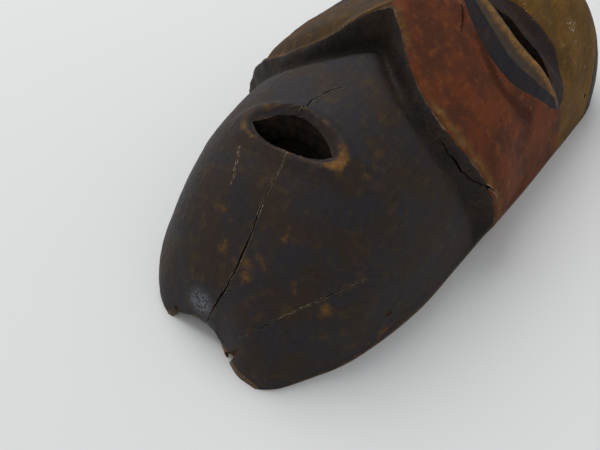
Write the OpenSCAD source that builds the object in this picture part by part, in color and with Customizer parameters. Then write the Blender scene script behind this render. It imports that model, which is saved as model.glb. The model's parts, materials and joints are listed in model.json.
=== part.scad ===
// Carved wooden dance mask that lies on its rim, face up.
// +X is the viewer's right, +Y runs from the chin to the crown, +Z comes out of the face.
// The wood is one carved block; each coat of paint on it is a thin solid of its own.

/* [Mask] */
// Length from the chin to the crown
mask_length = 316; // [260:2:380]
// Width across the rim at the temples
mask_width = 143; // [118:1:172]
// Height of the nose over the rim
nose_height = 107; // [98:1:128]
// Height of the muzzle behind the mouth
muzzle_height = 89; // [82:1:94]

/* [Shell] */
// Thickness of the wood under the nose
wall = 13; // [11:0.5:16]
// Thickness of the wood at the rim
rim_wall = 6; // [5:0.25:8]
// Thickness of a coat of paint over its ground
coat = 0.5; // [0.4:0.05:0.8]
// Bare strip of wood left along the rim, as a share of a quarter turn of the section
bare_edge = 0.015; // [0.01:0.005:0.03]

/* [Ledge between muzzle and face] */
// Distance from the chin to the tip of the nose
tip_y = 132; // [120:1:150]
// Length over which the ledge climbs
ledge_run = 5; // [4:0.5:8]
// How far the ledge sweeps towards the chin on the cheeks
cheek_sweep = 22.5; // [16:0.5:28]
// Depth of the groove at the foot of the ledge
groove_depth = 4; // [2:0.25:5]
// How far the right cheek stands out past the rim
right_flare = 8.5; // [4:0.5:12]
// How far the left cheek stands out past the rim
left_flare = 13; // [6:0.5:15]
// How much higher the left cheek stands than the right
left_rise = 7; // [0:0.5:9]
// Depth of the channel behind the ledge on the left cheek
left_channel = 5.5; // [0:0.5:6.5]

/* [Mouth] */
// Distance from the chin to the middle of the mouth
mouth_y = 60; // [50:1:70]
// Width of the mouth from corner to corner
mouth_width = 42; // [34:1:50]
// How far the mouth lies to the left of the middle
mouth_offset = 1.5; // [0:0.5:4]
// Height of the mouth opening
mouth_open = 15; // [10:0.5:19]
// Height of the lips round the mouth
lip_height = 2.5; // [1:0.25:4]

/* [Eyes] */
// Distance from the chin to the eye slits
eye_y = 186; // [178:1:194]
// Distance from the middle of the face to the middle of a slit
eye_x = 45; // [40:1:50]
// Length of an eye slit
eye_length = 38; // [28:1:42]
// Height of an eye slit at its middle
eye_open = 9; // [5:0.25:11]
// Angle at which the slits rise outwards
eye_tilt = 13; // [6:1:18]
// Depth of the hollow over each slit
socket_depth = 4.5; // [2:0.25:5]
// Height of the lower eyelid
lid_height = 2.5; // [1:0.25:3.5]

/* [Chin] */
// How far the right half of the chin reaches past its middle
right_lobe = 7.3; // [2:0.1:10]
// How far the left half of the chin reaches past its middle
left_lobe = 0.5; // [0:0.1:6]
// Width of the cut for the throat
throat_width = 32; // [24:1:38]
// Height of the cut for the throat
throat_height = 9.5; // [6:0.5:12]
// How far the cut for the throat lies to the left of the middle
throat_offset = 9.5; // [0:0.5:12]

/* [Tie holes] */
// Diameter of the tie holes
tie_hole_d = 3; // [2:0.25:4]
// Distance from the chin to the temple tie holes
temple_hole_y = 240; // [232:1:250]
// Height of the temple tie holes over the rim
temple_hole_z = 22; // [18:1:26]
// Distance from the chin to the muzzle tie holes
muzzle_hole_y = 49; // [42:1:56]
// Height of the muzzle tie holes over the rim
muzzle_hole_z = 17; // [14:1:20]

/* [Hair] */
// Height over the rim at which the hair's edge leaves the temple
hair_temple_z = 30; // [20:1:40]
// Height over the rim at which the hair's edge crosses the crown
hair_crown_z = 58; // [44:1:70]

/* [Hidden] */

half_width = mask_width / 2;
// How far a cut reaches past the face that it opens
clearance = 1;

// Half the rim's width along the mask: [share of the length, share of the half width]
rim_outline = [[0, 0.4], [0.016, 0.52], [0.05, 0.665], [0.11, 0.785], [0.22, 0.895], [0.33, 0.925],
               [0.405, 0.94], [0.46, 0.96], [0.55, 0.98], [0.65, 0.99], [0.745, 1], [0.83, 0.985],
               [0.9, 0.825], [0.955, 0.6], [0.987, 0.36], [1, 0.17]];
// Height of the muzzle along its middle: [share of the length, share of the muzzle height]
muzzle_profile = [[0, 0], [0.013, 0.225], [0.04, 0.43], [0.11, 0.74], [0.185, 0.91], [0.25, 0.965],
                  [0.32, 0.985], [0.38, 1], [0.5, 1.01]];
// Height of the face along its middle: [share of the length, share of the nose height]
face_profile = [[0.28, 0.97], [0.42, 1], [0.52, 1], [0.63, 0.97], [0.76, 0.89], [0.855, 0.75],
                [0.925, 0.56], [0.968, 0.34], [0.99, 0.16], [1, 0]];

// Rows of the carved surface: shares of the way to the foot of the ledge, then on to the crown
muzzle_rows = [0, 0.014, 0.035, 0.07, 0.12, 0.19, 0.27, 0.34, 0.4, 0.44, 0.48, 0.52, 0.57, 0.63,
               0.7, 0.77, 0.84, 0.89, 0.93, 0.965, 1];
face_rows = [0, 0.025, 0.048, 0.075, 0.12, 0.165, 0.205, 0.24, 0.27, 0.3, 0.33, 0.36, 0.395, 0.43, 0.47,
             0.52, 0.58, 0.645, 0.71, 0.77, 0.825, 0.87, 0.91, 0.945, 0.97, 0.988, 1];
ledge_y = tip_y - ledge_run;
rows = concat([for (s = muzzle_rows) s * ledge_y],
              [tip_y - ledge_run / 2],
              [for (s = face_rows) tip_y + s * (mask_length - tip_y)]);
tip_row = len(muzzle_rows) + 1;
last_row = len(rows) - 1;

// Columns of the surface: shares of the quarter turn from the middle out to the rim
half_columns = [0, 0.03, 0.07, 0.125, 0.19, 0.26, 0.33, 0.4, 0.47, 0.54, 0.61, 0.68, 0.75, 0.82, 0.88,
                0.94, 1 - bare_edge, 1];
columns = concat([for (k = [len(half_columns) - 1 : -1 : 1]) -half_columns[k]], half_columns);
mid_column = len(half_columns) - 1;
last_column = len(columns) - 1;

// Smooth curve through a table of [position, value]
function slope(t, k) = let (a = max(k - 1, 0), b = min(k + 1, len(t) - 1))
    (t[b][1] - t[a][1]) / (t[b][0] - t[a][0]);
function span(t, p, k = 0) = k >= len(t) - 2 || p < t[k + 1][0] ? k : span(t, p, k + 1);
function hermite(t, p, k) = let (h = t[k + 1][0] - t[k][0], u = (p - t[k][0]) / h, w = 1 - u)
    (1 + 2 * u) * w * w * t[k][1] + u * w * w * h * slope(t, k)
    + u * u * (3 - 2 * u) * t[k + 1][1] - u * u * w * h * slope(t, k + 1);
function curve(t, p) = let (q = min(max(p, t[0][0]), t[len(t) - 1][0])) hermite(t, q, span(t, q));
// 0 before a, 1 after b and smooth between them
function step(a, b, p) = let (u = min(max((p - a) / (b - a), 0), 1)) u * u * (3 - 2 * u);
function bell(p, width) = exp(-pow(p / width, 2));
function mix(a, b, share) = a + (b - a) * share;
function root(v) = sqrt(max(v, 0));
// Runs from 0 to 1 as s does, but leaves 0 in a curve of this radius
function soft(s, radius) = (norm([s, radius]) - radius) / (norm([1, radius]) - radius);

// Half the rim's width
function rim_x(y) = half_width * curve(rim_outline, y / mask_length);

// The halves of the chin reach past its middle
function lobe(x, row) = (x > 0 ? right_lobe : left_lobe) * step(0, 0.3 * half_width, abs(x))
    * (1 - step(0, 0.05 * mask_length, row));

// The ledge sweeps towards the chin on the cheeks and comes back at the rim
function sweep(s) = cheek_sweep * (pow(soft(s, 0.05) / 0.574 - 1, 2) - 1);
function row_y(row, s) = row + sweep(s) * bell(row - 0.95 * tip_y, 60) * step(0, 45, row);

// The curve that each eye follows, and how wide the bands beside it are
function eye_curve(x) = eye_y - 1 + 0.017 * pow(max(abs(x) - 35, 0), 2);
function eye_lens(x) = root(sin(180 * min(max((abs(x) - 10) / 68, 0), 1)));

// Height of the muzzle and of the face, for s = the share of the half width
function muzzle_z(y, s) = muzzle_height * curve(muzzle_profile, y / mask_length)
    * root(1 - pow(s, 2.2));
function face_section(y, s) = mix((1 - 0.36 * soft(s, 0.03) - 0.2 * s * s) * root(1 - pow(s, 14)),
    root(1 - pow(s, 2.4)), step(0.63, 0.92, y / mask_length));
function face_z(y, s) = nose_height * curve(face_profile, y / mask_length) * face_section(y, s);

// Carved detail on the outside: lips, groove, channel, eyelids and sockets
function lips(x, y) =
    let (e = norm([2 * (x + mouth_offset) / mouth_width, 2 * (y - mouth_y) / (mouth_open + 1)]))
    lip_height * bell(e - 1.25, 0.3);
function groove(row, s) = groove_depth * bell(row - ledge_y + 3, 5) * (1 - pow(s, 6));
function channel(row, s, side) = side < 0 ? left_channel * bell(row - tip_y - 6, 6)
    * step(0.15, 0.45, s) * (1 - pow(s, 6)) : 0;
function lower_lid(x, y) = lid_height * bell(y - eye_curve(x) + 5, 3)
    * step(14, 26, abs(x)) * (1 - step(64, 69, abs(x)));
function socket(x, y) = let (d = y - eye_curve(x))
    socket_depth * step(-3, 3, d) * (1 - step(17, 23, d))
    * step(12, 26, abs(x)) * (1 - step(60, 69, abs(x)));

// A point of the outside
function flare(y, s, side, c) = let (past = max(y - 0.96 * tip_y, 0))
    (side < 0 ? left_flare * bell(past, 60) : right_flare * bell(past, 20))
    * pow(s, 4) * step(0, 0.55, c);
function outer(row, u) =
    let (s = sin(90 * abs(u)), side = sign(u), y = row_y(row, s),
         up = step(ledge_y, tip_y, row), c = root(1 - pow(s, 14)),
         x = side * (rim_x(y) * s + up * flare(y, s, side, c)),
         rise = (side < 0 ? left_rise : 0) * bell(max(y - 0.96 * tip_y, 0), 70) * s * s * c,
         z = mix(muzzle_z(y, s), face_z(y, s) + rise, up))
    [x, y - lobe(x, row), s >= 1 || row <= 0 || row >= mask_length ? 0 :
        z - groove(row, s) - channel(row, s, side) + lips(x, y) + lower_lid(x, y) - socket(x, y)];

// A point of the hollow, which is a smooth bowl without the carved detail
function inner(row, u) =
    let (s = sin(90 * abs(u)), y = row_y(row, s),
         up = step(tip_y + 2, tip_y + 32, row),
         zm = muzzle_z(y, s) * (1 - wall / muzzle_height),
         zf = face_z(y, s) * (1 - wall / nose_height),
         x = sign(u) * (rim_x(y) - rim_wall) * s)
    [x, rim_wall + y * (1 - 2 * rim_wall / mask_length) - lobe(x, row),
     s >= 1 || row <= 0 || row >= mask_length ? 0 : mix(zm, zf, up)];

outside = [for (r = rows) [for (u = columns) outer(r, u)]];
hollow = [for (r = rows) [for (u = columns) inner(r, u)]];

// Middle of the outside in plan, which is the origin of the finished mask
outside_x = [for (r = outside) for (p = r) p[0]];
outside_y = [for (r = outside) for (p = r) p[1]];
centre = [(min(outside_x) + max(outside_x)) / 2, (min(outside_y) + max(outside_y)) / 2, 0];

// Outward direction at a point of the outside
function normal_at(j, i) =
    let (a = outside[j][min(i + 1, last_column)] - outside[j][max(i - 1, 0)],
         b = outside[min(j + 1, last_row)][i] - outside[max(j - 1, 0)][i],
         n = cross(a, b))
    n / norm(n);

// True if three points lie in the plane that the mask rests on
function flat(a, b, c) = a[2] == 0 && b[2] == 0 && c[2] == 0;

// Closed solid between two grids of points with the same rows and columns.
// A cell's diagonal is turned where it would leave a flat triangle on the rim.
module plate(top, bottom) {
    n = len(top);
    m = len(top[0]);
    edge = concat([for (i = [0 : m - 1]) i], [for (j = [1 : n - 1]) j * m + m - 1],
                  [for (i = [m - 2 : -1 : 0]) (n - 1) * m + i], [for (j = [n - 2 : -1 : 1]) j * m]);
    cells = [for (j = [0 : n - 2]) for (i = [0 : m - 2])
        let (a = j * m + i, turned = flat(top[j][i], top[j + 1][i + 1], top[j][i + 1])
                                     || flat(top[j][i], top[j + 1][i], top[j + 1][i + 1]))
        each turned ? [[a, a + m, a + 1], [a + 1, a + m, a + m + 1]]
                    : [[a, a + m, a + m + 1], [a, a + m + 1, a + 1]]];
    under = [for (c = cells) [c[2] + n * m, c[1] + n * m, c[0] + n * m]];
    rim = [for (k = [0 : len(edge) - 1]) let (a = edge[k], b = edge[(k + 1) % len(edge)]) each [
        [a, b, b + n * m], [a, b + n * m, a + n * m]]];
    polyhedron(concat([for (r = top) each r], [for (r = bottom) each r]),
               concat(rim, cells, under), convexity = 8);
}

// Coat of paint over some rows and columns of the outside
module skin(j0, j1, i0, i1) {
    wood = [for (j = [j0 : j1]) [for (i = [i0 : i1]) outside[j][i]]];
    face = [for (j = [j0 : j1]) [for (i = [i0 : i1]) outside[j][i] + coat * normal_at(j, i)]];
    plate(face, wood);
}

// Almond outline between two arcs
module almond(length, height) {
    r = (length * length / 4 + height * height / 4) / height;
    intersection_for (side = [-1, 1])
        translate([0, side * (r - height / 2)]) circle(r, $fn = 96);
}

module mouth_cut() {
    translate([-mouth_offset, mouth_y, muzzle_height / 3]) linear_extrude(muzzle_height)
        almond(mouth_width, mouth_open);
}

module eye_cut(side) {
    translate([side * eye_x, eye_y + eye_open / 2, 0]) rotate(side * eye_tilt)
        linear_extrude(2 * nose_height) almond(eye_length, eye_open);
}

// Arch under the chin
module throat_cut() {
    r = (pow(throat_width / 2, 2) + pow(throat_height, 2)) / (2 * throat_height);
    rotate([90, 0, 0]) linear_extrude(4 * wall, center = true)
        translate([-throat_offset, throat_height - r]) circle(r, $fn = 96);
}

// Level bore through the side wall
module side_bore(side, y, z) {
    translate([side * half_width, y, z]) rotate([0, 90, 0])
        cylinder(h = 4 * wall, d = tie_hole_d, center = true, $fn = 32);
}

module tie_holes() {
    for (side = [-1, 1]) {
        side_bore(side, temple_hole_y, temple_hole_z);
        side_bore(side, muzzle_hole_y, muzzle_hole_z);
    }
}

module openings() {
    mouth_cut();
    eye_cut(1);
    eye_cut(-1);
    throat_cut();
    tie_holes();
}

// Edges of the painted bands beside an eye: [distance from the eye curve, more at the middle]
line_edge = [-2, -24];
lid_edge = [-1.5, -12];
slit_edge = [-1, 0];
socket_edge = [0, 23];
// The bands reach from eye_from to eye_to, measured from the middle of the face
eye_from = 10;
eye_to = 67;
eye_steps = [for (k = [0 : 18]) eye_from + k * (eye_to - eye_from) / 18];
function edge_y(x, edge) = eye_curve(x) + edge[0] + edge[1] * eye_lens(x);

// Plan of a band between two edges
module eye_band(side, low, high) {
    linear_extrude(2 * nose_height) polygon(concat(
        [for (x = eye_steps) [side * x, edge_y(x, low)]],
        [for (k = [len(eye_steps) - 1 : -1 : 0]) [side * eye_steps[k], edge_y(eye_steps[k], high)]]));
}
module line_region(side) { eye_band(side, line_edge, lid_edge); }
module lid_region(side) { eye_band(side, lid_edge, slit_edge); }
module socket_region(side) { eye_band(side, slit_edge, socket_edge); }
module eye_region(side) { eye_band(side, line_edge, socket_edge); }

// Plan of everything on the brow's side of the cheeks
module brow_region() {
    linear_extrude(2 * nose_height) polygon(concat(
        [[-2 * half_width, 2 * mask_length], [-2 * half_width, eye_curve(eye_to)]],
        [for (k = [len(eye_steps) - 1 : -1 : 0]) [-eye_steps[k], eye_curve(eye_steps[k])]],
        [for (x = eye_steps) [x, eye_curve(x)]],
        [[2 * half_width, eye_curve(eye_to)], [2 * half_width, 2 * mask_length]]));
}

// Side wall of the brow, which is painted as hair from the temples round the crown
band_from = temple_hole_y + 6;
module band_region() {
    rotate([90, 0, 90]) linear_extrude(4 * half_width, center = true)
        polygon([[band_from, -clearance], [band_from + 4, hair_temple_z],
                 [band_from + 28, hair_crown_z], [2 * mask_length, hair_crown_z],
                 [2 * mask_length, -clearance]]);
}

module centred() {
    translate(-centre) children();
}

module carved_wood() {
    color("#5b4632") centred() difference() {
        plate(outside, hollow);
        openings();
    }
}

module muzzle_paint() {
    color("#33302f") centred() difference() {
        skin(1, tip_row, 1, last_column - 1);
        mouth_cut();
        throat_cut();
        tie_holes();
    }
}

module cheek_paint(side, i0, i1) {
    centred() difference() {
        skin(tip_row, tip_row + 16, i0, i1);
        eye_region(side);
        brow_region();
    }
}
module right_cheek_paint() { color("#6e3420") cheek_paint(1, mid_column, last_column - 1); }
module left_cheek_paint() { color("#7b5b33") cheek_paint(-1, 1, mid_column); }

module brow_paint() {
    color("#80602f") centred() difference() {
        intersection() {
            skin(tip_row + 6, last_row - 1, 1, last_column - 1);
            brow_region();
        }
        eye_region(1);
        eye_region(-1);
        band_region();
        tie_holes();
    }
}

module lid_line(side, i0, i1) {
    centred() intersection() {
        skin(tip_row + 4, tip_row + 15, i0, i1);
        line_region(side);
    }
}
module right_lid_line() { color("#20242e") lid_line(1, mid_column, last_column - 1); }
module left_lid_line() { color("#20242e") lid_line(-1, 1, mid_column); }

module lower_lid_paint(side, i0, i1) {
    centred() difference() {
        intersection() {
            skin(tip_row + 6, tip_row + 17, i0, i1);
            lid_region(side);
        }
        eye_cut(side);
    }
}
module right_lower_lid_paint() { color("#7a6a4c") lower_lid_paint(1, mid_column, last_column - 1); }
module left_lower_lid_paint() { color("#7a6a4c") lower_lid_paint(-1, 1, mid_column); }

module socket_paint(side, i0, i1) {
    centred() difference() {
        intersection() {
            skin(tip_row + 6, tip_row + 19, i0, i1);
            socket_region(side);
        }
        eye_cut(side);
    }
}
module right_socket_paint() { color("#4c4540") socket_paint(1, mid_column, last_column - 1); }
module left_socket_paint() { color("#4c4540") socket_paint(-1, 1, mid_column); }

module hair_band_paint() {
    color("#1d1b1c") centred() intersection() {
        skin(tip_row + 15, last_row - 1, 1, last_column - 1);
        band_region();
    }
}

carved_wood();
muzzle_paint();
right_cheek_paint();
left_cheek_paint();
brow_paint();
right_lid_line();
left_lid_line();
right_lower_lid_paint();
left_lower_lid_paint();
right_socket_paint();
left_socket_paint();
hair_band_paint();
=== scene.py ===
"""Looks of a carved and painted wooden mask that lies on its rim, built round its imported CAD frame.

Mask coordinates are in millimetres: x from the middle of the face to the viewer's right, y from the chin
to the crown, z up from the rim. A place on the outside is also given as (row, u): row is the distance from
the chin along the middle, and u runs from -1 at the left rim to 1 at the right rim.
"""
import json
import math

import bpy
import numpy as np
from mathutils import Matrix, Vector

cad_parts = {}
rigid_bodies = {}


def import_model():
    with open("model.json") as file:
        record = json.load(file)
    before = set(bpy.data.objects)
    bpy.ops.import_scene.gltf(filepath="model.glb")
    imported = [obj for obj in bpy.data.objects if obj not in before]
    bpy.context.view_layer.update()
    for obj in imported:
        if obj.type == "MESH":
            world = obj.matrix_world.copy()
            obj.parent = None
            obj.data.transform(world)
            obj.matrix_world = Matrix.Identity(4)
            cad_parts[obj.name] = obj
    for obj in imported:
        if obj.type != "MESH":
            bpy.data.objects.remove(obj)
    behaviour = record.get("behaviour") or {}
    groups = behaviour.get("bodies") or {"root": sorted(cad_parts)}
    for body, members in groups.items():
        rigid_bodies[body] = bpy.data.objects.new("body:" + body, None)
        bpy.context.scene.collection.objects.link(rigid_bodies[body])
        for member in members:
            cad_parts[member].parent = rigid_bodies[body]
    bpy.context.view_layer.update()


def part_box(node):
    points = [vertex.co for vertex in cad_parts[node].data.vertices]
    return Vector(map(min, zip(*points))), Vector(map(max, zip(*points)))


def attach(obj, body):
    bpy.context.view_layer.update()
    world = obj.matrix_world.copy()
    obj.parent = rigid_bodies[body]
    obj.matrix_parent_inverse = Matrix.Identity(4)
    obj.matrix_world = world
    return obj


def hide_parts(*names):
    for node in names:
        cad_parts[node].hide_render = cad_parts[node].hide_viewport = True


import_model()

MM = 0.001

# ---- Driving sizes, as the CAD model has them -------------------------------------------------------
MASK_LENGTH = 316.0
HALF_WIDTH = 71.5
NOSE_HEIGHT = 107.0
MUZZLE_HEIGHT = 89.0
WALL = 13.0
RIM_WALL = 6.0
TIP_Y = 132.0
LEDGE_Y = 127.0
CHEEK_SWEEP = 22.5
GROOVE_DEPTH = 4.0
RIGHT_FLARE = 8.5
LEFT_FLARE = 13.0
LEFT_RISE = 7.0
LEFT_CHANNEL = 5.5
MOUTH = (-1.5, 60.0)
MOUTH_SIZE = (42.0, 15.0)
LIP_HEIGHT = 2.5
EYE_Y = 186.0
EYE_X = 45.0
EYE_SIZE = (38.0, 9.0)
EYE_MIDDLE_Y = EYE_Y + EYE_SIZE[1] / 2
EYE_TILT = 13.0
SOCKET_DEPTH = 4.5
LID_HEIGHT = 2.5
RIGHT_LOBE = 7.3
LEFT_LOBE = 0.5
THROAT_X = -9.5
THROAT_SIZE = (32.0, 9.5)
TIE_HOLE_D = 3.0
TEMPLE_HOLE = (240.0, 22.0)
MUZZLE_HOLE = (49.0, 17.0)
HAIR_EDGE = [(246.0, -1.0), (250.0, 30.0), (274.0, 58.0), (632.0, 58.0)]
EYE_BAND = (10.0, 67.0)         # from and to, from the middle of the face
EYE_BAND_FADE = 50.0            # from here outwards the eye's bands draw together

RIM_OUTLINE = [(0, 0.4), (0.016, 0.52), (0.05, 0.665), (0.11, 0.785), (0.22, 0.895), (0.33, 0.925),
               (0.405, 0.94), (0.46, 0.96), (0.55, 0.98), (0.65, 0.99), (0.745, 1), (0.83, 0.985),
               (0.9, 0.825), (0.955, 0.6), (0.987, 0.36), (1, 0.17)]
MUZZLE_PROFILE = [(0, 0), (0.013, 0.225), (0.04, 0.43), (0.11, 0.74), (0.185, 0.91), (0.25, 0.965),
                  (0.32, 0.985), (0.38, 1), (0.5, 1.01)]
FACE_PROFILE = [(0.28, 0.97), (0.42, 1), (0.52, 1), (0.63, 0.97), (0.76, 0.89), (0.855, 0.75),
                (0.925, 0.56), (0.968, 0.34), (0.99, 0.16), (1, 0)]

# ---- Meshes and surface -----------------------------------------------------------------------------
ROW_STEP = 1.3
COLUMN_COUNT = 192
SMOOTH_ANGLE = math.radians(38)
COAT_UNDERCUT = 0.12            # how far a coat reaches into the wood
COAT_EDGE = 0.45                # share of its thickness that a coat keeps at its edge
CRACK_PROUD = 1.5               # how far a crack's cutter stands out of the surface


# ---- Shape of the mask ------------------------------------------------------------------------------
def curve(table, p):
    """Smooth curve through a table of (position, value)."""
    at, value = np.array(table, float).T
    slope = np.empty(len(at))
    slope[1:-1] = (value[2:] - value[:-2]) / (at[2:] - at[:-2])
    slope[0] = (value[1] - value[0]) / (at[1] - at[0])
    slope[-1] = (value[-1] - value[-2]) / (at[-1] - at[-2])
    p = np.clip(p, at[0], at[-1])
    k = np.clip(np.searchsorted(at, p, side="right") - 1, 0, len(at) - 2)
    h = at[k + 1] - at[k]
    t = (p - at[k]) / h
    w = 1 - t
    return ((1 + 2 * t) * w * w * value[k] + t * w * w * h * slope[k]
            + t * t * (3 - 2 * t) * value[k + 1] - t * t * w * h * slope[k + 1])


def step(a, b, p):
    """Smooth rise from 0 at a to 1 at b."""
    t = np.clip((p - a) / (b - a), 0, 1)
    return t * t * (3 - 2 * t)


def bell(p, width):
    """1 at 0, falling off on both sides."""
    return np.exp(-((p / width) ** 2))


def mix(a, b, share):
    return a + (b - a) * share


def root(v):
    """Square root, 0 below 0."""
    return np.sqrt(np.maximum(v, 0))


def soft(s, radius):
    """Runs from 0 to 1 as s does, but leaves 0 in a curve of this radius."""
    return (np.hypot(s, radius) - radius) / (np.hypot(1, radius) - radius)


def lobe(x, row):
    """The halves of the chin reach past its middle."""
    reach = np.where(x > 0, RIGHT_LOBE, LEFT_LOBE)
    return reach * step(0, 0.3 * HALF_WIDTH, np.abs(x)) * (1 - step(0, 0.05 * MASK_LENGTH, row))


def row_y(row, s):
    """The ledge sweeps towards the chin on the cheeks and comes back at the rim."""
    sweep = CHEEK_SWEEP * ((soft(s, 0.05) / 0.574 - 1) ** 2 - 1)
    return row + sweep * bell(row - 0.95 * TIP_Y, 60) * step(0, 45, row)


def eye_curve(x):
    """y of the line through both eyes, which rises at the temples."""
    return EYE_Y - 1 + 0.017 * np.maximum(np.abs(x) - 35, 0) ** 2


def eye_lens(x):
    """How wide the eye's bands are: 0 beside the nose and at the temple, 1 between."""
    return root(np.sin(np.pi * np.clip((np.abs(x) - 10) / 68, 0, 1)))


def muzzle_z(y, s):
    """Height of the muzzle. s runs from 0 at the middle to 1 at the rim."""
    return MUZZLE_HEIGHT * curve(MUZZLE_PROFILE, y / MASK_LENGTH) * root(1 - s ** 2.2)


def face_z(y, s):
    """Height of the face: a nose ridge between sloping cheeks, then a round crown."""
    cheeks = (1 - 0.36 * soft(s, 0.03) - 0.2 * s * s) * root(1 - s ** 14)
    crown = root(1 - s ** 2.4)
    section = mix(cheeks, crown, step(0.63, 0.92, y / MASK_LENGTH))
    return NOSE_HEIGHT * curve(FACE_PROFILE, y / MASK_LENGTH) * section


def rim_x(y):
    """Half the rim's width."""
    return HALF_WIDTH * curve(RIM_OUTLINE, y / MASK_LENGTH)


def around_mouth(x, y):
    """Distance from the middle of the mouth: 1 is about its edge."""
    return np.hypot(2 * (x - MOUTH[0]) / MOUTH_SIZE[0], 2 * (y - MOUTH[1]) / (MOUTH_SIZE[1] + 1))


def carved_detail(x, y, row, s, side):
    """Height that the lips, the groove under the ledge, the channel over it, the lids and sockets add."""
    around = around_mouth(x, y)
    lips = LIP_HEIGHT * bell(around - 1.25, 0.3) - 1.6 * bell(np.maximum(around - 0.95, 0), 0.12)
    groove = GROOVE_DEPTH * bell(row - LEDGE_Y + 3, 5) * (1 - s ** 6)
    channel = (np.where(side < 0, LEFT_CHANNEL, 0) * bell(row - TIP_Y - 6, 6) * step(0.15, 0.45, s)
               * (1 - s ** 6))
    past = y - eye_curve(x)
    across = np.abs(x)
    lid = LID_HEIGHT * bell(past + 5, 3) * step(14, 26, across) * (1 - step(64, 69, across))
    socket = SOCKET_DEPTH * step(6, 12, past) * (1 - step(17, 23, past))
    return lips - groove - channel + lid - socket * step(12, 26, across) * (1 - step(60, 69, across))


def on_rim(row, s):
    return (s >= 1) | (row <= 0) | (row >= MASK_LENGTH)


def outer(row, u):
    """Points of the carved outside."""
    s = np.sin(np.pi / 2 * np.abs(u))
    side = np.sign(u)
    y = row_y(row, s)
    up = step(LEDGE_Y, TIP_Y, row)
    c = root(1 - s ** 14)
    past = np.maximum(y - 0.96 * TIP_Y, 0)
    flare = np.where(side < 0, LEFT_FLARE * bell(past, 60), RIGHT_FLARE * bell(past, 20))
    x = side * (rim_x(y) * s + up * flare * s ** 4 * step(0, 0.55, c))
    rise = np.where(side < 0, LEFT_RISE, 0) * bell(past, 70) * s * s * c
    z = mix(muzzle_z(y, s), face_z(y, s) + rise, up) + carved_detail(x, y, row, s, side)
    return np.stack(np.broadcast_arrays(x, y - lobe(x, row), np.where(on_rim(row, s), 0, z)), -1)


def inner(row, u):
    """Points of the hollow behind the face."""
    s = np.sin(np.pi / 2 * np.abs(u))
    y = row_y(row, s)
    up = step(TIP_Y + 2, TIP_Y + 32, row)
    x = np.sign(u) * (rim_x(y) - RIM_WALL) * s
    z = mix(muzzle_z(y, s) * (1 - WALL / MUZZLE_HEIGHT), face_z(y, s) * (1 - WALL / NOSE_HEIGHT), up)
    back = RIM_WALL + y * (1 - 2 * RIM_WALL / MASK_LENGTH) - lobe(x, row)
    return np.stack(np.broadcast_arrays(x, back, np.where(on_rim(row, s), 0, z)), -1)


def noise(points, size, seed):
    """Smooth noise from -1 to 1 over points, with features of about this size in millimetres."""
    q = np.asarray(points) / size + 31.7 * seed
    cell = np.floor(q).astype(np.int64)
    f = q - cell
    f = f * f * (3 - 2 * f)
    total = 0
    for corner in range(8):
        o = np.array([corner & 1, corner >> 1 & 1, corner >> 2])
        k = cell + o
        h = (k[..., 0] * 73856093) ^ (k[..., 1] * 19349663) ^ (k[..., 2] * 83492791)
        h = (h ^ (h >> 13)) * 1274126177 & 0xFFFFFF
        total = total + (h / 0x7FFFFF - 1) * np.prod(np.where(o, f, 1 - f), -1)
    return total


def evenly(along, start, stop, spacing):
    """Values from start to stop whose points lie evenly along a line, an even number of gaps apart."""
    fine = np.linspace(start, stop, 4001)
    arc = np.concatenate([[0], np.cumsum(np.linalg.norm(np.diff(along(fine), axis=0), axis=1))])
    gaps = 2 * math.ceil(arc[-1] / spacing / 2)
    return np.interp(np.linspace(0, arc[-1], gaps + 1), arc, fine)


def normals_of(grid):
    """Outward directions at the points of a grid."""
    n = np.cross(np.gradient(grid, axis=1), np.gradient(grid, axis=0))
    return n / np.maximum(np.linalg.norm(n, axis=-1, keepdims=True), 1e-9)


rows = evenly(lambda r: outer(r, 0 * r + 0.3), 0, MASK_LENGTH, ROW_STEP)
columns = np.linspace(-1, 1, COLUMN_COUNT + 1)
R, U = np.meshgrid(rows, columns, indexing="ij")
plain = outer(R, U)
surface_mid = (plain.reshape(-1, 3).min(0) + plain.reshape(-1, 3).max(0)) / 2
wood_low, wood_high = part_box("carved_wood")
frame_mid = (np.array(wood_low) + np.array(wood_high)) / 2 / MM
SHIFT = np.array([frame_mid[0] - surface_mid[0], frame_mid[1] - surface_mid[1], 0])


def to_frame(points):
    """Mask coordinates in millimetres to frame coordinates in metres."""
    return (np.asarray(points, float) + SHIFT) * MM


def place(row, u):
    """A point of the outside, and its outward direction."""
    grid = outer(np.array([[row - 0.4], [row], [row + 0.4]]), np.array([[u - 0.004, u, u + 0.004]]))
    return grid[1, 1], normals_of(grid)[1, 1]


def tool_relief():
    """Unevenness that the carver's tools left, which fades out at the rim."""
    fade = step(0, 0.05, 1 - np.abs(U)) * step(0, 6, R) * step(0, 8, MASK_LENGTH - R)
    worn = 0.55 * noise(plain, 26, 1) + 0.3 * noise(plain, 11, 2)
    grain = 0.1 * noise(plain * np.array([1, 0.06, 1]), 1.9, 3) + 0.08 * noise(plain, 3, 4)
    ledge = 0.7 * noise(plain, 6, 5) * bell(R - TIP_Y, 4)
    return fade * (worn + grain + ledge)


OUTSIDE = plain + normals_of(plain) * tool_relief()[..., None]
NORMAL = normals_of(OUTSIDE)
X, Y, Z = plain[..., 0], plain[..., 1], plain[..., 2]


# ---- Materials --------------------------------------------------------------------------------------
def add(tree, kind, inputs=None, **settings):
    """Shader node with its settings, and its sockets set to values or linked."""
    made = tree.nodes.new("ShaderNode" + kind)
    for key, value in settings.items():
        setattr(made, key, value)
    for key, value in (inputs or {}).items():
        if isinstance(value, bpy.types.NodeSocket):
            tree.links.new(value, made.inputs[key])
        else:
            made.inputs[key].default_value = value
    return made


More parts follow.
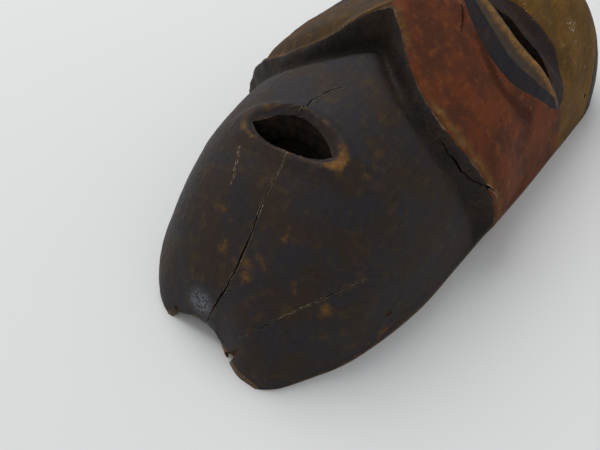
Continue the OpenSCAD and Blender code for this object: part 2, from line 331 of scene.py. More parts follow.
def texture(tree, place_of, size, detail=3.0, shift=0.0, stretch=(1, 1, 1)):
    """Noise with features of a size in millimetres. stretch lengthens them along an axis."""
    scale = [1 / (size * MM * k) for k in stretch]
    at = add(tree, "VectorMath", {0: place_of, 1: scale, 2: (shift, shift, shift)},
             operation="MULTIPLY_ADD")
    return add(tree, "TexNoise", {"Vector": at.outputs[0], "Scale": 1.0, "Detail": detail}).outputs["Fac"]


def ramp(tree, value, low, high):
    """0 below low, 1 above high."""
    return add(tree, "MapRange", {"Value": value, "From Min": low, "From Max": high},
               interpolation_type="SMOOTHSTEP").outputs["Result"]


def math_node(tree, operation, a, b):
    return add(tree, "Math", {0: a, 1: b}, operation=operation).outputs[0]


def blend(tree, share, a, b):
    made = add(tree, "Mix", data_type="RGBA")
    for index, value in ((0, share), (6, a), (7, b)):
        if isinstance(value, bpy.types.NodeSocket):
            tree.links.new(value, made.inputs[index])
        else:
            made.inputs[index].default_value = (*value, 1) if index else value
    return made.outputs[2]


# ---- Meshes -----------------------------------------------------------------------------------------
def grid_triangles(n, m):
    """Triangles of a grid of n rows and m columns."""
    a = (np.arange(n - 1)[:, None] * m + np.arange(m - 1)[None, :]).ravel()
    return np.concatenate([np.stack([a, a + 1, a + m + 1], 1), np.stack([a, a + m + 1, a + m], 1)])


def edge_loop(n, m):
    """Numbers of the points round a grid of n rows and m columns, anticlockwise from above."""
    return np.concatenate([np.arange(m - 1), np.arange(n - 1) * m + m - 1,
                           (n - 1) * m + np.arange(m - 1, 0, -1), np.arange(n - 1, 0, -1) * m])


def clip(field, triangles):
    """The part of a triangle mesh where field is above 0.

    Each new point lies a share of the way from old point a to old point b.
    """
    field = np.where(np.abs(field) < 1e-6, 1e-6, field)
    inside = field[triangles] > 0
    count = inside.sum(1)
    whole = triangles[count == 3]

    def turned(which, wanted):
        t = triangles[which]
        first = np.argmax(inside[which] == wanted, 1)
        return [t[np.arange(len(t)), (first + k) % 3] for k in range(3)]

    p, q, r = turned(count == 1, True)
    o, v, w = turned(count == 2, False)
    pairs = np.concatenate([np.stack(e, 1) for e in [(p, q), (p, r), (o, v), (o, w)]])
    key, cut = np.unique(np.sort(pairs, 1), axis=0, return_inverse=True)
    cut = cut.ravel() + len(field)
    pq, pr, ov, ow = np.split(cut, np.cumsum([len(p), len(p), len(o)]))
    made = np.concatenate([whole, np.stack([p, pq, pr], 1),
                           np.stack([v, w, ow], 1), np.stack([v, ow, ov], 1)])
    share = field[key[:, 0]] / (field[key[:, 0]] - field[key[:, 1]])
    old = np.arange(len(field))
    a = np.concatenate([old, key[:, 0]])
    b = np.concatenate([old, key[:, 1]])
    t = np.concatenate([np.zeros(len(field)), share])
    used, made = np.unique(made, return_inverse=True)
    return a[used], b[used], t[used, None], made.reshape(-1, 3)


def boundary(triangles):
    """Directed edges that only one triangle has."""
    edges = np.concatenate([triangles[:, [0, 1]], triangles[:, [1, 2]], triangles[:, [2, 0]]])
    n = edges.max() + 1
    one = edges[:, 0] * n + edges[:, 1]
    other = edges[:, 1] * n + edges[:, 0]
    return edges[~np.isin(one, other)]


def painted_recess_shade():
    """Near-black finish for the walls of openings and cracks: painted shade in these recesses."""
    material = bpy.data.materials.new("recess_shade_finish")
    material.use_nodes = True
    tree = material.node_tree
    shader = tree.nodes["Principled BSDF"]
    at = add(tree, "TexCoord").outputs["Object"]
    colour = blend(tree, ramp(tree, texture(tree, at, 3, 4, 4.4), 0.35, 0.7), (0.014, 0.0105, 0.009),
                   (0.034, 0.022, 0.014))
    tree.links.new(colour, shader.inputs["Base Color"])
    shader.inputs["Roughness"].default_value = 0.85
    shader.inputs["Specular IOR Level"].default_value = 0.08
    return material


def make_piece(name, points, triangles, marks=None):
    """Mesh object of points in mask coordinates. marks are four shares per point for its material."""
    mesh = bpy.data.meshes.new(name)
    mesh.from_pydata(to_frame(points), [], triangles.tolist())
    marks = np.zeros((len(points), 4)) if marks is None else np.clip(marks, 0, 1)
    layer = mesh.color_attributes.new("marks", "FLOAT_COLOR", "POINT")
    layer.data.foreach_set("color", marks.astype(np.float32).ravel())
    piece = bpy.data.objects.new(name, mesh)
    bpy.context.scene.collection.objects.link(piece)
    return piece


def make_painted(name, points, triangles, marks):
    """Piece with a slot for its own material and one for the painted shade on the walls that cuts leave."""
    piece = make_piece(name, points, triangles, marks)
    piece.data.materials.append(None)
    piece.data.materials.append(recess_shade)
    return piece


def coat(name, field, thickness, marks):
    """Coat of paint where field, in millimetres, is above 0. It thins towards its edge."""
    n, m = field.shape
    a, b, t, triangles = clip(field.ravel(), grid_triangles(n, m))
    height = thickness * (COAT_EDGE + (1 - COAT_EDGE) * step(0, 1.2, field))[..., None]
    top = (OUTSIDE + NORMAL * height).reshape(-1, 3)
    under = (OUTSIDE - NORMAL * COAT_UNDERCUT).reshape(-1, 3)
    flat_marks = marks.reshape(-1, 4)
    count = len(a)
    points = np.concatenate([mix(top[a], top[b], t), mix(under[a], under[b], t)])
    values = mix(flat_marks[a], flat_marks[b], t)
    e = boundary(triangles)
    sides = np.concatenate([np.stack([e[:, 1], e[:, 0], e[:, 0] + count], 1),
                            np.stack([e[:, 1], e[:, 0] + count, e[:, 1] + count], 1)])
    triangles = np.concatenate([triangles, triangles[:, ::-1] + count, sides])
    return make_painted(name, points, triangles, np.concatenate([values, values]))


def wood_block(marks):
    """The carved block: the outside, the hollow at half its resolution, and the rim between them."""
    n, m = R.shape
    hollow = inner(R[::2, ::2], U[::2, ::2])
    k, j = hollow.shape[:2]
    row, u = R[::2, ::2], U[::2, ::2]
    fade = step(0, 0.12, 1 - np.abs(u)) * step(0, 10, row) * step(0, 10, MASK_LENGTH - row)
    gouges = 0.9 * np.abs(noise(hollow * np.array([1, 0.45, 1]), 9, 6)) + 0.25 * noise(hollow, 4, 7)
    hollow = hollow + normals_of(hollow) * (fade * gouges)[..., None]
    outside_loop = edge_loop(n, m)
    hollow_loop = edge_loop(k, j) + n * m
    a, b = outside_loop, np.roll(outside_loop, -1)
    near = np.repeat(hollow_loop, 2)
    rim = np.stack([b, a, near], 1)
    c = hollow_loop
    d = np.roll(hollow_loop, -1)
    rim = np.concatenate([rim, np.stack([np.roll(outside_loop, -2)[::2], c, d], 1)])
    under = grid_triangles(k, j)[:, ::-1] + n * m
    triangles = np.concatenate([grid_triangles(n, m), under, rim])
    points = np.concatenate([OUTSIDE.reshape(-1, 3), hollow.reshape(-1, 3)])
    values = np.concatenate([marks.reshape(-1, 4), np.zeros((k * j, 4))])
    return make_painted("carved_wood_visual", points, triangles, values)


def loft(name, rings, walls=None):
    """Cutter through rings of points that all run the same way. walls is the material that it leaves."""
    rings = np.array(rings, float)
    k, n = rings.shape[:2]
    i = np.arange(n)
    triangles = []
    for r in range(k - 1):
        a, b = r * n + i, r * n + (i + 1) % n
        triangles += [np.stack([a, b, b + n], 1), np.stack([a, b + n, a + n], 1)]
    fan = np.stack([0 * i[1:-1], i[2:], i[1:-1]], 1)
    triangles += [fan, fan[:, ::-1] + (k - 1) * n]
    cutter = make_piece(name, rings.reshape(-1, 3), np.concatenate(triangles))
    cutter.hide_render = True
    if walls:
        cutter.data.materials.append(None)
        cutter.data.materials.append(walls)
        cutter.data.polygons.foreach_set("material_index", np.ones(len(cutter.data.polygons), np.int32))
    return cutter


# ---- Openings, holes and cracks ---------------------------------------------------------------------
def almond(size, count=28):
    """Outline between two arcs, anticlockwise."""
    half, height = size[0] / 2, size[1] / 2
    radius = (half * half + height * height) / (2 * height)
    x = half * np.cos(np.linspace(0, np.pi, count))
    y = np.sqrt(radius * radius - x * x) - (radius - height)
    return np.concatenate([np.stack([x, y], 1)[:-1], np.stack([-x, -y], 1)[:-1]])


def outside_almond(x, y, size):
    """Distance from an almond outline: above 0 outside it."""
    half, height = size[0] / 2, size[1] / 2
    reach = (half * half - height * height) / (2 * height)
    radius = reach + height
    return np.maximum(np.hypot(x, y - reach), np.hypot(x, y + reach)) - radius


def hole_cutter(name, size, middle, turn, levels):
    """Upright cutter with an almond plan. levels are (z, share of the size) from the bottom up."""
    plan = almond(size)
    wander = 1 + 0.05 * noise(np.c_[plan, 0 * plan[:, 0]], 6, 11)[:, None]
    c, s = math.cos(math.radians(turn)), math.sin(math.radians(turn))
    turned = (plan * wander) @ np.array([[c, s], [-s, c]])
    return loft(name, [np.c_[turned * share + middle, 0 * turned[:, 0] + z] for z, share in levels], recess_shade)


def throat_cutter():
    """Arch under the chin with a ragged broken edge."""
    width, height = THROAT_SIZE
    radius = (width * width / 4 + height * height) / (2 * height)
    angles = np.linspace(-0.5, math.pi + 0.5, 46)
    rings = []
    for y in np.linspace(26, -14, 21):
        arch = np.stack([THROAT_X + radius * np.cos(angles), 0 * angles + y,
                         height - radius + radius * np.sin(angles)], 1)
        ragged = 0.9 * noise(arch, 5, 12) + 0.4 * noise(arch, 2, 13)
        out = arch - np.array([THROAT_X, y, height - radius])
        rings.append(arch + out / np.linalg.norm(out, axis=1, keepdims=True) * ragged[:, None])
    return loft("throat_cutter", rings)


def tube_cutter(name, path, radii, count=16):
    """Round cutter along a path of points."""
    path = np.array(path, float)
    along = np.gradient(path, axis=0)
    along /= np.linalg.norm(along, axis=1, keepdims=True)
    side = np.cross(along, [0, 0, 1])
    side /= np.linalg.norm(side, axis=1, keepdims=True)
    up = np.cross(side, along)
    angles = np.linspace(0, 2 * math.pi, count, endpoint=False)[:, None]
    return loft(name, [p + r * (np.cos(angles) * s + np.sin(angles) * t)
                       for p, r, s, t in zip(path, radii, side, up)][::-1])


def tie_hole_cutter(name, side, hole):
    """Level hole through a side wall at hole, a (y, z)."""
    start = HALF_WIDTH + 30
    xs = np.linspace(start, HALF_WIDTH - 26, 8) * side
    path = [(x, hole[0], hole[1]) for x in xs]
    radii = [TIE_HOLE_D / 2 * (1 + 0.06 * math.sin(3 * k)) for k in range(len(xs))]
    return tube_cutter(name, path, radii)


def crack_cutter(name, route, width, depth, seed):
    """Wedge that follows a route of (row, u) over the outside, widest in its middle."""
    route = np.array(route, float)
    ends = np.linspace(0, 1, len(route))
    count = 4 * len(route)
    spots = np.linspace(0, 1, count)
    route = np.stack([np.interp(spots, ends, route[:, k]) for k in (0, 1)], 1)
    found = [place(row, u) for row, u in route]
    points = np.array([p for p, _ in found])
    out = np.array([n for _, n in found])
    along = np.gradient(points, axis=0)
    across = np.cross(out, along)
    across /= np.linalg.norm(across, axis=1, keepdims=True)
    points = points + across * (0.45 * noise(points, 3.5, seed))[:, None]
    taper = root(np.sin(np.pi * np.clip(spots, 0.01, 0.99)))[:, None]
    half = width / 2 * taper * (0.75 + 0.35 * noise(points, 6, seed + 1))[:, None]
    deep = depth * (0.3 + 0.7 * taper)
    above, spread = points + out * CRACK_PROUD, across * half * 1.3
    rings = [above - spread, points - out * deep, above + spread]
    return loft(name, np.stack(rings, 1), recess_shade)


def cut(piece, cutters):
    """Takes the cutters out of a piece for good."""
    for cutter in cutters:
        modifier = piece.modifiers.new("cut", "BOOLEAN")
        modifier.operation = "DIFFERENCE"
        modifier.solver = "MANIFOLD"
        modifier.object = cutter
    bpy.context.view_layer.update()
    whole = piece.evaluated_get(bpy.context.evaluated_depsgraph_get())
    mesh = bpy.data.meshes.new_from_object(whole)
    piece.modifiers.clear()
    piece.data = mesh


# Painted shade: a near-black finish for the walls that the openings and cracks leave
recess_shade = painted_recess_shade()
mouth_cutter = hole_cutter("mouth_cutter", MOUTH_SIZE, MOUTH, 0,
                           [(35, 0.92), (74, 1), (82, 1.04), (96, 1.16)])
eye_cutters = [hole_cutter("eye_cutter", EYE_SIZE, (side * EYE_X, EYE_MIDDLE_Y), side * EYE_TILT,
                           [(10, 1), (115, 1)]) for side in (-1, 1)]
throat = throat_cutter()
tie_cutters = [tie_hole_cutter("tie_hole_cutter", side, hole)
               for side in (-1, 1) for hole in (TEMPLE_HOLE, MUZZLE_HOLE)]
# Notches that broke out beside the throat cut: one on the right, four tubes deep, and one on the left
hook_cutters = [
    *(tube_cutter("hook_cutter", [(9, deep - 9, 0.5), (12, deep - 6, 5), (14.5, deep - 3.5, 10),
                                  (17.5, deep - 1, 15.5)], [2.3, 1.9, 1.5, 0.8])
      for deep in (0, 2.2, 4.4, 6.6)),
    tube_cutter("hook_cutter", [(-21, -7, 4), (-22, -2, 6), (-24, 4, 7.5), (-25, 12, 8.5)],
                [2, 1.6, 1.3, 1]),
]

# Cracks along the grain, each a route of (row, u) with its width and depth
CRACKS = {
    "long_crack": ([(-0.5, -0.17), (1.4, -0.13), (2.6, -0.08), (5.2, -0.02), (9, 0.03), (16, 0.05),
                    (24, 0.048), (33, 0.042), (41, 0.038), (47.5, 0.034), (51, 0.04)], 0.9, 5),
    "upper_crack": ([(67, -0.045), (70.2, -0.03), (78.7, -0.04), (83, -0.02), (87.7, 0), (93.6, 0.03)],
                    0.8, 3),
    "chin_crack": ([(3.5, 0.27), (7.6, 0.36), (11.4, 0.42), (18.2, 0.49), (26.7, 0.55), (37.6, 0.6),
                    (50, 0.65)], 0.4, 2),
    "groove_crack": ([(128.5, 0.4), (128.8, 0.45), (128.6, 0.51), (128.8, 0.57), (129, 0.65),
                      (130.6, 0.72), (135.3, 0.8)], 0.9, 3),
    "side_crack": ([(52, -0.22), (43, -0.18), (36, -0.16)], 0.35, 1.5),
    "cheek_crack": ([(174.5, 0.15), (171, 0.19), (165, 0.24)], 0.7, 1.5),
}
crack_cutters = {name: crack_cutter(name, *spec, seed=20 + 3 * k)
                 for k, (name, spec) in enumerate(CRACKS.items())}
muzzle_cracks = [cutter for name, cutter in crack_cutters.items() if name != "cheek_crack"]


# ---- Marks of wear, chips, stains, painted shade, gloss and painted light ---------------------------
def spot(row, u, radius):
    """Share that falls off round a place on the outside."""
    middle, _ = place(row, u)
    return bell(np.linalg.norm(plain - middle, axis=-1), radius)


def stroke(route, radius):
    """Share that falls off beside a route of (row, u)."""
    nearest = np.full(R.shape, 1e9)
    ends = [place(row, u)[0] for row, u in route]
    for a, b in zip(ends, ends[1:]):
        t = np.clip(((plain - a) @ (b - a)) / ((b - a) @ (b - a)), 0, 1)[..., None]
        nearest = np.minimum(nearest, np.linalg.norm(plain - (a + t * (b - a)), axis=-1))
    return bell(nearest, radius)


def most(*shares):
    return np.maximum.reduce(shares)


def marks_of(wear=0, white=0, stain_and_shade=0, gloss_and_painted_light=0):
    """The four shares of each point. Gloss with painted light is kept as what it lacks of 1, which cut
    walls have as well.
    """
    blank = np.zeros(R.shape)
    return np.stack([blank + wear, blank + white, blank + stain_and_shade, blank + 1 - gloss_and_painted_light], -1)


lip_wear = bell(around_mouth(X, Y) - 1.2, 0.16)
rim_wear = bell(1 - np.abs(U), 0.035)
ledge_wear = bell(R - TIP_Y - 2.2, 3.4)

muzzle_marks = marks_of(
    wear=most(0.42 * lip_wear, 0.85 * lip_wear * spot(66, 0.24, 10), 0.6 * lip_wear * spot(77, 0.08, 10),
              0.62 * lip_wear * spot(56, -0.22, 12), 0.5 * rim_wear, 0.5 * spot(15.8, 0.1, 7),
              0.36 * spot(20, 0.18, 7), 0.62 * spot(24, 0.6, 4.5), 0.3 * spot(20, 0.43, 9),
              0.5 * stroke([(34.5, 0.21), (29.6, 0.22)], 2), 0.55 * spot(48, 0.94, 5),
              0.34 * stroke([(70, 0.3), (80, 0.42)], 4), 0.3 * spot(95, 0.36, 12),
              0.4 * spot(18, -0.06, 11), 0.34 * spot(27, -0.2, 12), 0.3 * spot(8, -0.3, 9),
              0.3 * spot(44, -0.02, 12)),
    # darker towards the ledge and most in the groove under it: painted shade
    stain_and_shade=most(0.75 * bell(R - 126, 7), 0.35 * step(96, 120, R)),
    # gloss, with a painted highlight at the chin and painted light that lightens the muzzle's left flank
    gloss_and_painted_light=most(spot(4, -0.17, 8), 0.7 * spot(1.5, -0.1, 6), 0.32 * bell(R - 45, 45) * step(0.2, 0.65, -U)),
)
right_marks = marks_of(
    wear=most(0.62 * ledge_wear * step(0.2, 0.4, U), 0.5 * stroke([(134, 0.02), (134, 0.14)], 4),
              0.4 * rim_wear, 0.75 * spot(145, 0.8, 4), 0.2 * spot(150, 0.35, 14)),
    white=most(0.3 * spot(145, 0.8, 2.5), 0.26 * ledge_wear * step(0.45, 0.6, U)),
    stain_and_shade=most(0.9 * stroke([(172, 0.3), (169.5, 0.38), (168, 0.49), (168.5, 0.56), (171, 0.64),
                             (176, 0.7)], 4),
               0.9 * spot(157, 0.59, 2), 0.8 * spot(159, 0.63, 2), 0.6 * spot(170, 0.2, 8),
               0.4 * spot(146, 0.6, 8)),
)
left_marks = marks_of(
    wear=most(0.6 * ledge_wear, 0.5 * rim_wear),
    white=most(0.36 * ledge_wear, 0.5 * spot(131.5, -0.15, 4), 0.3 * spot(146, -0.3, 9)),
    stain_and_shade=0.5 * spot(175, -0.25, 18),
)
brow_marks = marks_of(
    wear=0.45 * rim_wear,
    white=most(0.5 * spot(236, 0.53, 11), 0.4 * spot(232, 0.6, 9), 0.45 * spot(240, -0.5, 12)),
    stain_and_shade=most(0.5 * spot(252, 0.2, 22), 0.5 * spot(214, 0.86, 9)),
)
past_eye = Y - eye_curve(X)
lid_marks = marks_of(wear=0.75 * bell(past_eye + 5.5, 3), white=0.25 * bell(past_eye + 5, 2))
socket_marks = marks_of(
    wear=0.2,
    white=0.3 * bell(past_eye - 22 * eye_lens(X), 1.6),
    stain_and_shade=0.55 * bell(past_eye, 3),
)
line_marks = marks_of(wear=0.22)
band_top = np.interp(Y, *np.array(HAIR_EDGE).T)
hair_marks = marks_of(wear=0.3 * rim_wear + 0.35 * bell(Z - band_top, 3))
wood_marks = marks_of(wear=0.3)


# ---- Coats of paint ---------------------------------------------------------------------------------
def edge_y(edge):
    """y of a band's edge beside the eye: edge is (distance from the eye curve, more at its middle)."""
    return eye_curve(X) + edge[0] + edge[1] * eye_lens(X) * closing


def lowest(*fields):
    return np.minimum.reduce(fields)


closing = root(1 - (np.maximum(np.abs(X) - EYE_BAND_FADE, 0) / (EYE_BAND[1] - EYE_BAND_FADE)) ** 2)
ragged = 0.5 * noise(plain, 5, 8) + 0.3 * noise(plain, 1.8, 9)
chipped = 1.3 * np.maximum(noise(plain, 7, 10) - 0.1, 0)
from_rim = (1 - np.abs(U)) * 100 - 1.6 - chipped
across = np.abs(X)
in_band = lowest(across - EYE_BAND[0], EYE_BAND[1] - across)
clear_of_mouth = outside_almond(X - MOUTH[0], Y - MOUTH[1], MOUTH_SIZE) - 0.2

# Edges between the eye's bands, from below: line, lower lid, socket, brow
LINE_LOW, LID_LOW, SLIT_LOW, SOCKET_HIGH = (-2, -24), (-1.5, -12), (-1, 0), (0, 23)
line_low = np.where(in_band > 0, edge_y(LINE_LOW), eye_curve(X))
socket_high = np.where(in_band > 0, edge_y(SOCKET_HIGH), eye_curve(X))


def clear_of_slit(side):
    """Distance from an eye slit: above 0 outside it."""
    turn = math.radians(side * EYE_TILT)
    x, y = X - side * EYE_X, Y - EYE_MIDDLE_Y
    return outside_almond(x * math.cos(turn) + y * math.sin(turn), y * math.cos(turn) - x * math.sin(turn),
                          EYE_SIZE) - 0.25


# Each coat's field, thickness and marks
from_crown = MASK_LENGTH - R - 0.3
over_ledge = R - TIP_Y + 0.4 + ragged
under_eye = line_low - Y + 0.8 + ragged
coats = {
    "muzzle_paint": (lowest(TIP_Y - 0.6 - R + ragged, from_rim, clear_of_mouth, R - 0.9),
                     0.36, muzzle_marks),
    "right_cheek_paint": (lowest(over_ledge, X + 0.4, under_eye, from_rim), 0.34, right_marks),
    "left_cheek_paint": (lowest(over_ledge, 0.4 - X, under_eye, from_rim), 0.31, left_marks),
    "brow_paint": (lowest(Y - socket_high + 0.4 + ragged, from_rim, Z - band_top + 0.5, from_crown),
                   0.3, brow_marks),
    "hair_band_paint": (lowest(band_top - Z + 0.3 * ragged, Y - HAIR_EDGE[0][0], from_rim + 0.6,
                               from_crown), 0.42, hair_marks),
}
for side, label in ((1, "right"), (-1, "left")):
    on_side = lowest(side * X - EYE_BAND[0] + ragged, EYE_BAND[1] - side * X + ragged)
    slit = clear_of_slit(side)
    coats[label + "_lid_line"] = (
        lowest(on_side, Y - edge_y(LINE_LOW) + ragged, edge_y(LID_LOW) - Y + 0.6),
        0.44, line_marks)
    coats[label + "_lower_lid_paint"] = (
        lowest(on_side, Y - edge_y(LID_LOW) + ragged, edge_y(SLIT_LOW) - Y + 0.6, slit),
        0.4, lid_marks)
    coats[label + "_socket_paint"] = (
        lowest(on_side, Y - edge_y(SLIT_LOW), edge_y(SOCKET_HIGH) - Y + 0.4 * ragged, slit),
        0.36, socket_marks)


# ---- Finishes ---------------------------------------------------------------------------------------
CHIP = (0.5, 0.45, 0.34)        # pale ground in a fresh chip
# bluish grey mixed into the colour as a painted sheen where the gloss share is
PAINTED_SHEEN_COLOUR = (0.13, 0.14, 0.165)
GRAIN = 0.35                    # how strongly the wood's grain shows through paint
BUMP_HEIGHT = 0.5 * MM


def scaled(tree, value, factor, offset):
    return add(tree, "Math", {0: value, 1: factor, 2: offset}, operation="MULTIPLY_ADD").outputs[0]


def rubbed(tree, mark, patches, flecks, low, high):
    """Where a mark shows: a mark that patches and flecks of noise break up."""
    broken = math_node(tree, "ADD", mark, scaled(tree, patches, 0.9, -0.45))
    broken = math_node(tree, "ADD", broken, scaled(tree, flecks, 0.8, -0.4))
    return ramp(tree, broken, low, high)


def shaded(colour, share):
    """A colour made darker, or lighter by a share over 1."""
    return tuple(share * c for c in colour)


def painted(name, base, other, tint, worn, speck=None, rough=0.55, specular=0.25):
    """Old hand-laid paint: base and other in soft patches, a tint in smaller ones, worn to the ground."""
    material = bpy.data.materials.new(name)
    material.use_nodes = True
    tree = material.node_tree
    shader = tree.nodes["Principled BSDF"]
    at = add(tree, "TexCoord").outputs["Object"]
    marks = add(tree, "Attribute", attribute_name="marks")
    wear, white, stain_and_shade = add(tree, "SeparateColor", {"Color": marks.outputs["Color"]}).outputs
    gloss_and_painted_light = math_node(tree, "SUBTRACT", 1.0, marks.outputs["Alpha"])
    patches = texture(tree, at, 16, 5, 3.1)
    middling = texture(tree, at, 5, 5, 8.3)
    flecks = texture(tree, at, 1.3, 4, 12.7)
    lines = texture(tree, at, 0.9, 4, 5.9, (1, 22, 1))
    streaks = texture(tree, at, 2.6, 3, 1.4, (1, 12, 1))

    colour = blend(tree, ramp(tree, patches, 0.38, 0.62), base, other)
    colour = blend(tree, math_node(tree, "MULTIPLY", ramp(tree, middling, 0.5, 0.72), 0.75), colour, tint)
    colour = blend(tree, math_node(tree, "MULTIPLY", ramp(tree, lines, 0.52, 0.68), GRAIN), colour,
                   shaded(base, 0.35))
    colour = blend(tree, math_node(tree, "MULTIPLY", ramp(tree, streaks, 0.56, 0.74), 0.5 * GRAIN),
                   colour, shaded(other, 1.5))
    halo = math_node(tree, "MULTIPLY", rubbed(tree, wear, patches, middling, 0.2, 0.75), 0.5)
    colour = blend(tree, halo, colour, shaded(worn, 0.62))
    through = rubbed(tree, wear, middling, flecks, 0.34, 0.88)
    colour = blend(tree, through, colour, worn)
    deepest = rubbed(tree, wear, flecks, middling, 0.7, 1.05)
    colour = blend(tree, deepest, colour, shaded(worn, 1.5))
    chips = rubbed(tree, white, flecks, lines, 0.52, 0.66)
    colour = blend(tree, chips, colour, CHIP)
    if speck:
        dots = add(tree, "TexVoronoi", {"Vector": at, "Scale": 1 / (2.3 * MM)}).outputs["Distance"]
        gate = ramp(tree, texture(tree, at, 6, 2, 7.7), 0.6, 0.7)
        near = math_node(tree, "SUBTRACT", 1.0, dots)
        small = math_node(tree, "MULTIPLY", ramp(tree, near, 0.8, 0.9), gate)
        colour = blend(tree, small, colour, speck)
    # Stains, and painted shade under the ledge, darken the base colour
    colour = blend(tree, rubbed(tree, stain_and_shade, patches, flecks, 0.35, 0.85), colour, shaded(base, 0.42))
    # Painted highlight and light: the gloss share mixes a bluish-grey sheen into the colour
    painted_sheen = ramp(tree, gloss_and_painted_light, 0.2, 1.0)
    colour = blend(tree, math_node(tree, "MULTIPLY", painted_sheen, ramp(tree, flecks, 0.35, 0.6)), colour,
                   PAINTED_SHEEN_COLOUR)
    tree.links.new(colour, shader.inputs["Base Color"])

    dull = scaled(tree, flecks, 0.3, rough - 0.15)
    dull = scaled(tree, through, 0.18, dull)
    dull = scaled(tree, gloss_and_painted_light, -0.22, dull)
    tree.links.new(dull, shader.inputs["Roughness"])
    shader.inputs["Specular IOR Level"].default_value = specular

    relief = scaled(tree, flecks, 0.35, middling)
    relief = scaled(tree, lines, 0.5, relief)
    relief = scaled(tree, through, -0.35, relief)
    bumped = add(tree, "Bump", {"Height": relief, "Strength": 0.55, "Distance": BUMP_HEIGHT})
    tree.links.new(bumped.outputs["Normal"], shader.inputs["Normal"])
    return material


def bare_wood():
    """Old unpainted wood with its grain along the mask, darker in the pores."""
    material = bpy.data.materials.new("bare_wood_finish")
    material.use_nodes = True
    tree = material.node_tree
    shader = tree.nodes["Principled BSDF"]
    at = add(tree, "TexCoord").outputs["Object"]
    wide = texture(tree, at, 7, 4, 2.2, (1, 9, 1))
    fine = texture(tree, at, 0.8, 4, 6.1, (1, 26, 1))
    dirt = texture(tree, at, 14, 5, 9.4)
    colour = blend(tree, ramp(tree, wide, 0.35, 0.65), (0.105, 0.06, 0.032), (0.165, 0.102, 0.055))
    colour = blend(tree, ramp(tree, fine, 0.5, 0.72), colour, (0.04, 0.023, 0.013))
    colour = blend(tree, math_node(tree, "MULTIPLY", ramp(tree, dirt, 0.45, 0.7), 0.6), colour,
                   (0.05, 0.034, 0.022))
    tree.links.new(colour, shader.inputs["Base Color"])
    tree.links.new(scaled(tree, fine, 0.2, 0.6), shader.inputs["Roughness"])
    shader.inputs["Specular IOR Level"].default_value = 0.25
    relief = scaled(tree, fine, 0.8, wide)
    bumped = add(tree, "Bump", {"Height": relief, "Strength": 0.6, "Distance": BUMP_HEIGHT})
    tree.links.new(bumped.outputs["Normal"], shader.inputs["Normal"])
    return material


# Each finish: base, other, tint, worn
OCHRE_GROUND = (0.165, 0.08, 0.022)
dark_finish = painted("dark_paint_finish", (0.034, 0.0225, 0.0165), (0.027, 0.0235, 0.0265),
                      (0.054, 0.034, 0.016), OCHRE_GROUND, rough=0.62, specular=0.14)
red_finish = painted("red_paint_finish", (0.142, 0.037, 0.013), (0.08, 0.027, 0.0145),
                     (0.19, 0.056, 0.016), (0.16, 0.082, 0.028), rough=0.72, specular=0.1)
left_finish = painted("ochre_paint_finish", (0.072, 0.037, 0.012), (0.04, 0.026, 0.015),
                      (0.1, 0.056, 0.019), (0.155, 0.088, 0.034), rough=0.72, specular=0.1)
brow_finish = painted("brow_paint_finish", (0.155, 0.077, 0.015), (0.108, 0.056, 0.015),
                      (0.2, 0.104, 0.022), (0.24, 0.14, 0.05), speck=(0.5, 0.42, 0.26),
                      rough=0.74, specular=0.1)
line_finish = painted("line_paint_finish", (0.0145, 0.0145, 0.021), (0.021, 0.0165, 0.019),
                      (0.03, 0.022, 0.018), (0.09, 0.038, 0.018), rough=0.65, specular=0.12)
lid_finish = painted("lid_paint_finish", (0.085, 0.056, 0.033), (0.062, 0.047, 0.036),
                     (0.125, 0.07, 0.028), (0.23, 0.12, 0.04), rough=0.68, specular=0.12)
socket_finish = painted("socket_paint_finish", (0.042, 0.0265, 0.02), (0.031, 0.0225, 0.023),
                        (0.06, 0.036, 0.021), (0.1, 0.06, 0.028), rough=0.7, specular=0.1)
hair_finish = painted("hair_paint_finish", (0.012, 0.0115, 0.0125), (0.018, 0.0155, 0.016),
                      (0.028, 0.022, 0.016), (0.12, 0.085, 0.045), rough=0.6, specular=0.15)
wood_finish = bare_wood()

FINISHES = {
    "muzzle_paint": (dark_finish, "dark_paint"),
    "right_cheek_paint": (red_finish, "red_paint"),
    "left_cheek_paint": (left_finish, "ochre_paint"),
    "brow_paint": (brow_finish, "brow_paint"),
    "hair_band_paint": (hair_finish, "hair_paint"),
    "right_lid_line": (line_finish, "line_paint"),
    "left_lid_line": (line_finish, "line_paint"),
    "right_lower_lid_paint": (lid_finish, "lid_paint"),
    "left_lower_lid_paint": (lid_finish, "lid_paint"),
    "right_socket_paint": (socket_finish, "socket_paint"),
    "left_socket_paint": (socket_finish, "socket_paint"),
}


# ---- Pieces -----------------------------------------------------------------------------------------
def finish_piece(piece, node, material, slot):
    """Gives a piece its material and its place in the frame."""
    mesh = piece.data
    mesh.materials[0] = material
    mesh.shade_smooth()
    mesh.set_sharp_from_angle(angle=SMOOTH_ANGLE)
    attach(piece, "root")
    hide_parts(node)


wood = wood_block(wood_marks)
cut(wood, [mouth_cutter, *eye_cutters, throat, *tie_cutters, *hook_cutters, *crack_cutters.values()])
finish_piece(wood, "carved_wood", wood_finish, "bare_wood")

COAT_CUTS = {
    "muzzle_paint": [throat, *tie_cutters, *hook_cutters, *muzzle_cracks],
    "right_cheek_paint": [crack_cutters["cheek_crack"], crack_cutters["groove_crack"]],
    "brow_paint": tie_cutters,
}
for name, (field, thickness, marks) in coats.items():
    piece = coat(name + "_visual", field, thickness, marks)
    if name in COAT_CUTS:
        cut(piece, COAT_CUTS[name])
    finish_piece(piece, name, *FINISHES[name])

for cutter in [o for o in bpy.data.objects if o.name.split(".")[0].endswith(("_cutter", "_crack"))]:
    bpy.data.objects.remove(cutter)


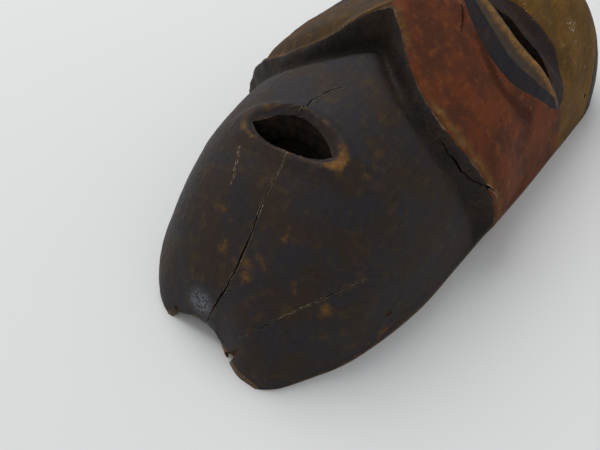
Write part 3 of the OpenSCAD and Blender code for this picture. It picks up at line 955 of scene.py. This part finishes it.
# ---- Floor, light and camera ------------------------------------------------------------------------
FLOOR_HALF = 4.0
WORLD_STRENGTH = 0.53
KEY_LIGHT = {"place_at": (-1.35, 0.6, 2.2), "aim": (0, -0.05, 0), "size": 2.2, "watts": 40}
CAMERA_TURN = math.radians(36.4)
CAMERA_RISE = math.radians(47.42)
CAMERA_DISTANCE = 373.2
CAMERA_AIM = (-12.4, 80.6, 0.0)
CAMERA_SPREAD = math.radians(45)


def floor():
    mesh = bpy.data.meshes.new("floor")
    corners = [(-FLOOR_HALF, -FLOOR_HALF, 0), (FLOOR_HALF, -FLOOR_HALF, 0),
               (FLOOR_HALF, FLOOR_HALF, 0), (-FLOOR_HALF, FLOOR_HALF, 0)]
    mesh.from_pydata(corners, [], [(0, 1, 2, 3)])
    made = bpy.data.objects.new("floor", mesh)
    bpy.context.scene.collection.objects.link(made)
    material = bpy.data.materials.new("floor_finish")
    material.use_nodes = True
    shader = material.node_tree.nodes["Principled BSDF"]
    shader.inputs["Base Color"].default_value = (0.79, 0.79, 0.785, 1)
    shader.inputs["Roughness"].default_value = 0.9
    shader.inputs["Specular IOR Level"].default_value = 0.1
    mesh.materials.append(material)


def area_light(name, place_at, aim, size, watts):
    data = bpy.data.lights.new(name, "AREA")
    data.shape = "DISK"
    data.size = size
    data.energy = watts
    made = bpy.data.objects.new(name, data)
    made.location = place_at
    made.rotation_euler = (Vector(aim) - Vector(place_at)).to_track_quat("-Z", "Y").to_euler()
    bpy.context.scene.collection.objects.link(made)


def world(strength):
    made = bpy.data.worlds.new("studio")
    made.use_nodes = True
    background = made.node_tree.nodes["Background"]
    background.inputs["Color"].default_value = (0.96, 0.98, 1.0, 1)
    background.inputs["Strength"].default_value = strength
    bpy.context.scene.world = made


def camera():
    data = bpy.data.cameras.new("camera")
    data.angle = CAMERA_SPREAD
    data.clip_start = 0.01
    back = Vector((math.cos(CAMERA_RISE) * math.sin(CAMERA_TURN),
                   -math.cos(CAMERA_RISE) * math.cos(CAMERA_TURN), math.sin(CAMERA_RISE)))
    made = bpy.data.objects.new("camera", data)
    made.location = Vector(to_frame(CAMERA_AIM)) + back * CAMERA_DISTANCE * MM
    made.rotation_euler = back.to_track_quat("Z", "Y").to_euler()
    bpy.context.scene.collection.objects.link(made)
    bpy.context.scene.camera = made


floor()
world(WORLD_STRENGTH)
area_light("key", **KEY_LIGHT)
camera()
bpy.context.scene.view_settings.view_transform = "Standard"
